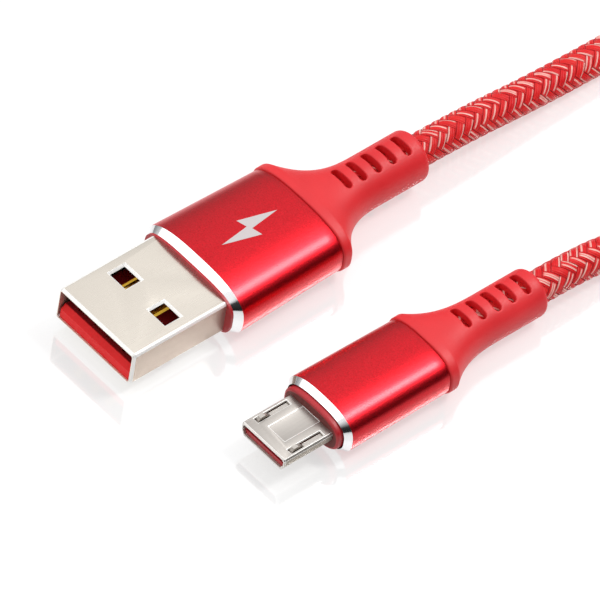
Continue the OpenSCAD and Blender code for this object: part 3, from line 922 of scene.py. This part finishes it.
def opening(centre, size, z0, z1, flare0, flare1):
    """Cutter for a rectangular opening, wider by the flare on each side at each height."""
    (cx, cy), (w, h) = centre, size
    verts = [(cx + sx * (w / 2 + f) * MM, cy + sy * (h / 2 + f) * MM, z)
             for z, f in ((z0, flare0), (z1, flare1))
             for sx, sy in ((-1, -1), (1, -1), (1, 1), (-1, 1))]
    faces = [(0, 3, 2, 1), (4, 5, 6, 7), (0, 1, 5, 4), (1, 2, 6, 5), (2, 3, 7, 6), (3, 0, 4, 7)]
    return new_object("opening", verts, faces)


def two_slots(obj):
    """Empty material slots, so that a bevel can be given the second one."""
    obj.data.materials.clear()
    for _ in range(2):
        obj.data.materials.append(None)


def mark_slanted(obj):
    """Gives the round long corners the second material too."""
    for face in obj.data.polygons:
        if max(abs(c) for c in face.normal) < 0.985:
            face.material_index = 1


def large_shell():
    w, h, sheet, r = 12, 4.5, 0.3, 0.45
    front, back = -13, 4.5
    lip, rim = 0.2, 0.27
    obj = shell_tube("large_shell_body", round_outline(w, h, r),
                     round_outline(w - 2 * lip, h - 2 * lip, r - lip + 0.05),
                     round_outline(w - 2 * sheet, h - 2 * sheet, r - sheet + 0.05), front, back,
                     0.34, LARGE.at)
    holes = []
    for x in (-1, 1):
        for up in (-1, 1):
            centre = (LARGE_X + x * 3.15 * MM, FRONT_Y - 6.25 * MM)
            deep, face = LARGE_Z + up * 1.9 * MM, LARGE_Z + up * (h / 2) * MM
            holes.append(opening(centre, (2.5, 2.05), deep, face + up * 0.1 * MM,
                                 -(face - deep) * up / MM + rim, rim + 0.1))
            holes.append(opening(centre, (2.5, 2.05), LARGE_Z + up * 1.6 * MM,
                                 face + up * 0.1 * MM, 0, 0))
    cut(obj, holes)
    two_slots(obj)
    bevel(obj, 0.04, 35, 1)
    shade(obj, 30)
    mark_slanted(obj)
    return obj


def trapezoid(t, corner=0.2):
    """The small plug's keyed section, wide side up, smaller by t all round."""
    w, h = 6.85 / 2 - t, 1.8 / 2 - t
    foot = 5.9 / 2 - 0.55 * t
    return np.array([(foot, -h), (w, -0.05), (w, h - corner), (w - corner, h), (corner - w, h),
                     (-w, h - corner), (-w, -0.05), (-foot, -h)])


def small_shell():
    front, back, sheet = -8.3, 3.5, 0.25
    obj = shell_tube("small_shell_body", trapezoid(0), trapezoid(0.1), trapezoid(sheet), front,
                     back, 0.14, SMALL.at)
    holes = []
    for x in (-1, 1):
        centre = (SMALL_X + x * 2.65 * MM, FRONT_Y - 4.75 * MM)
        holes.append(opening(centre, (0.65, 4.5), SMALL_Z + 0.5 * MM, SMALL_Z + 1.0 * MM, 0, 0))
        holes.append(opening(centre, (0.65, 4.5), SMALL_Z + 0.82 * MM, SMALL_Z + 1.0 * MM, 0, 0.18))
    holes.append(opening((SMALL_X, FRONT_Y - 4.05 * MM), (2.6, 4.9), SMALL_Z + 0.85 * MM,
                         SMALL_Z + 1.0 * MM, 0, 0.1))
    cut(obj, holes)
    two_slots(obj)
    bevel(obj, 0.06, 30, 1)
    shade(obj, 30)
    return obj


# Bevels and round corners take the near-white edge material: a painted highlight.
for shell, node, mat, slot in ((large_shell(), "large_shell", "bright", "plug_steel"),
                               (small_shell(), "small_shell", "satin", "satin_steel")):
    set_indices(shell, [MATERIALS[mat], MATERIALS["edge"]])
    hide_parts(node)


def small_insert():
    """Oval nose of the inner mould, with a rounded front edge, round the small shell."""
    n, edge = 128, 0.28
    hole = even_outline(trapezoid(-0.02), n)
    a, b = 8.6 / 2, 4.4 / 2
    rings = [ring_points(hole, -1.6, SMALL.at)]
    for t in range(0, 91, 15):
        back = edge * (1 - math.sin(math.radians(t)))
        rings.append(ring_points(matched(oval(a - back, b - back, 2.7, n), hole),
                                 -1.6 + edge * (1 - math.cos(math.radians(t))), SMALL.at))
    rings.append(ring_points(matched(oval(a, b, 2.7, n), hole), 1.9, SMALL.at))
    rings.append(ring_points(hole, 1.9, SMALL.at))
    obj = loft("small_nose", rings, closed=True, smooth_deg=50)
    # The flat front face gets the dusky brown as painted shade; the rounded edge and sides stay red.
    for face in obj.data.polygons:
        face.material_index = 1 if face.index < n else 0
    return obj


def matched(outline, other):
    """The outline's points, started and wound so that they face the other outline's points."""
    if area(outline) * area(other) < 0:
        outline = outline[::-1]
    n = len(outline)
    cost = [np.abs(np.roll(outline, -k, axis=0) - other).sum() for k in range(n)]
    return np.roll(outline, -int(np.argmin(cost)), axis=0)


def area(outline):
    x, y = outline[:, 0], outline[:, 1]
    return float((x * np.roll(y, -1) - y * np.roll(x, -1)).sum())


nose = small_insert()
set_indices(nose, [MATERIALS["nose"], MATERIALS["nose_face_shade"]])
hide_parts("small_front_insert")


# ---------------------------------------------------------------- large contacts

def contact_blade(node):
    """Flat blade with both long edges of its top coined down; the outer flank has the glowing gold of
    a painted highlight.

    Its front tip is rounded over, a little behind the end of its groove.
    """
    low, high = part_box(node)
    flank, drop, tip = 0.35 * MM, 0.12 * MM, low.y + 0.5 * MM
    rings = []
    for y, sunk in ((tip, 0.1 * MM), (tip + 0.15 * MM, 0), (high.y, 0)):
        top = high.z - sunk
        shoulder = top - drop
        section = [(low.x, low.z), (high.x, low.z), (high.x, shoulder),
                   (high.x - flank, top), (low.x + flank, top), (low.x, shoulder)]
        rings.append([(x, y, z) for x, z in section])
    obj = loft(node + "_blade", rings)
    outwards = 1 if low.x + high.x > 2 * LARGE_X else -1
    # The outer flank takes the glowing gold: a painted highlight.
    for face in obj.data.polygons:
        face.material_index = 1 if face.normal.z > 0.5 and face.normal.x * outwards > 0.1 else 0
    return obj


for number in range(1, 5):
    node = "large_contact_%d" % number
    blade = contact_blade(node)
    set_indices(blade, [MATERIALS["gold"], MATERIALS["gold_edge"]])
    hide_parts(node)


# ---------------------------------------------------------------- tie

def coil_tie():
    """Flat strap drawn round the bundle of turns, with its free end pressed down on top."""
    width, overlap, n = 8.0, 9.0, 120
    r0 = COIL_R
    half = CORD_D / 2 + TIE_T / 2 + 0.08
    centres = [(r0 - k * PITCH, REST_Z + TIE_T) for k in range(4)]
    centres += [(r0 - (k + 0.5) * PITCH, REST_Z + TIE_T + UPPER) for k in range(3)]
    points = [(cx + half * math.cos(t), cz + half * math.sin(t))
              for cx, cz in centres for t in np.linspace(0, 2 * math.pi, 24, endpoint=False)]
    points = [(x, max(z, TIE_T / 2)) for x, z in points]
    loop = even_outline(np.array(hull_of(points)), n)
    turn = Matrix.Rotation(math.radians(TIE_ANGLE), 4, "Z")
    shift = Matrix.Translation((COIL_C[0] * MM, COIL_C[1] * MM, 0))
    verts, faces = [], []
    normals = np.roll(loop, -1, axis=0) - np.roll(loop, 1, axis=0)
    normals = np.stack([normals[:, 1], -normals[:, 0]], 1)
    normals /= np.linalg.norm(normals, axis=1)[:, None]
    start = int(np.argmax(loop[:, 1] + 0.02 * loop[:, 0]))
    extra = round(overlap / 60 * n)
    count = n + extra
    profile = [(-0.5, -0.5), (-0.47, 0.5), (0, 0.56), (0.47, 0.5), (0.5, -0.5), (0, -0.5)]
    for k in range(count):
        p, nrm = loop[(start + k) % n], normals[(start + k) % n]
        rise = (TIE_T + 0.05) * float(smoothstep((k - n + 6) / 8))
        for u, v in profile:
            x, z = p + nrm * (v * TIE_T + rise)
            verts.append(shift @ turn @ Vector((x * MM, u * width * MM, z * MM)))
    m = len(profile)
    for k in range(count - 1):
        faces += [(k * m + i, k * m + (i + 1) % m, (k + 1) * m + (i + 1) % m, (k + 1) * m + i)
                  for i in range(m)]
    faces += [tuple(range(m)), tuple((count - 1) * m + i for i in range(m - 1, -1, -1))]
    return new_object("coil_strap", verts, faces, 60)


def hull_of(points):
    """Convex hull, counter-clockwise."""
    points = sorted(set(points))

    def chain(run):
        out = []
        for p in run:
            while len(out) > 1 and ((out[-1][0] - out[-2][0]) * (p[1] - out[-2][1])
                                    - (out[-1][1] - out[-2][1]) * (p[0] - out[-2][0])) <= 0:
                out.pop()
            out.append(p)
        return out[:-1]

    return chain(points) + chain(points[::-1])


tie = coil_tie()
finish(tie, MATERIALS["strap"])
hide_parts("coil_tie")


# ---------------------------------------------------------------- CAD nodes that stay

KEPT = {
    "gold": ["small_contact_1", "small_contact_2", "small_contact_3", "small_contact_4",
             "small_contact_5", "small_contact_tails"],
    "insulator": ["large_contact_carrier"],
    "nose": ["small_contact_carrier", "large_front_insert"],
    "inner": ["large_inner_mould", "small_inner_mould"],
    "bright": ["large_crimp_band", "small_crimp_band"],
    "satin": ["small_latch_left", "small_latch_right"],
    "wire_red": ["large_wire_1", "small_wire_1"],
    "wire_white": ["large_wire_2", "small_wire_2"],
    "wire_green": ["large_wire_3", "small_wire_3"],
    "wire_black": ["large_wire_4", "small_wire_4"],
}
for key, names in KEPT.items():
    for name in names:
        finish(frame["nodes"][name], MATERIALS[key])


# ---------------------------------------------------------------- stage

FLOOR_SIDE, FLOOR_DROP = 1.6, 0.02 * MM


def floor():
    """A plain square, a hair under the part so that the two never share a plane."""
    corners = [(x * FLOOR_SIDE, y * FLOOR_SIDE, 0) for x, y in ((-1, -1), (1, -1), (1, 1), (-1, 1))]
    mesh = bpy.data.meshes.new("floor")
    mesh.from_pydata(corners, [], [(0, 1, 2, 3)])
    obj = bpy.data.objects.new("floor", mesh)
    bpy.context.scene.collection.objects.link(obj)
    obj.location.z = -FLOOR_DROP
    mesh.materials.append(floor_material())


def area_light(name, direction, distance, size, power):
    """Soft white light in a direction from the plugs, facing them."""
    data = bpy.data.lights.new(name, "AREA")
    data.shape, data.size, data.size_y = "RECTANGLE", size[0], size[1]
    data.energy = power
    obj = bpy.data.objects.new(name, data)
    bpy.context.scene.collection.objects.link(obj)
    away = Vector(direction).normalized()
    obj.location = VIEW_AIM + away * distance
    obj.rotation_mode = "QUATERNION"
    obj.rotation_quaternion = away.to_track_quat("Z", "Y")


def world():
    """Bright room overhead, a grey horizon on the left, and dark cards low on the right.

    The cards give the polished metal its dark bands.
    """
    env = bpy.data.worlds.new("room")
    bpy.context.scene.world = env
    env.use_nodes = True
    n = Nodes(env.node_tree)
    split = n.add("ShaderNodeSeparateXYZ")
    n.link(n.add("ShaderNodeTexCoord").outputs["Generated"], split.inputs[0])
    x, _, z = split.outputs
    room = n.ramp(z, 0.1, 0.68, 0.28, 1.0)
    right = n.math("MULTIPLY", n.ramp(x, 0.15, 0.42), n.ramp(z, 0.73, 0.62))
    level = n.math("MULTIPLY", room, n.math("SUBTRACT", 1.0, n.math("MULTIPLY", right, 0.96)))
    back = n.tree.nodes["Background"]
    n.link(level, back.inputs["Strength"])
    back.inputs["Color"].default_value = (1, 1, 1, 1)


floor()
world()
area_light("shoulder_light", (0.215, 0.510, 0.833), 0.5, (0.11, 0.10), 1.05)
area_light("crown_light", (0.05, 0.510, 0.860), 0.5, (0.22, 0.22), 0.25)
area_light("front_light", (-0.457, -0.679, 0.558), 0.6, (0.7, 0.3), 0.6)
bpy.context.scene.view_settings.view_transform = "Standard"
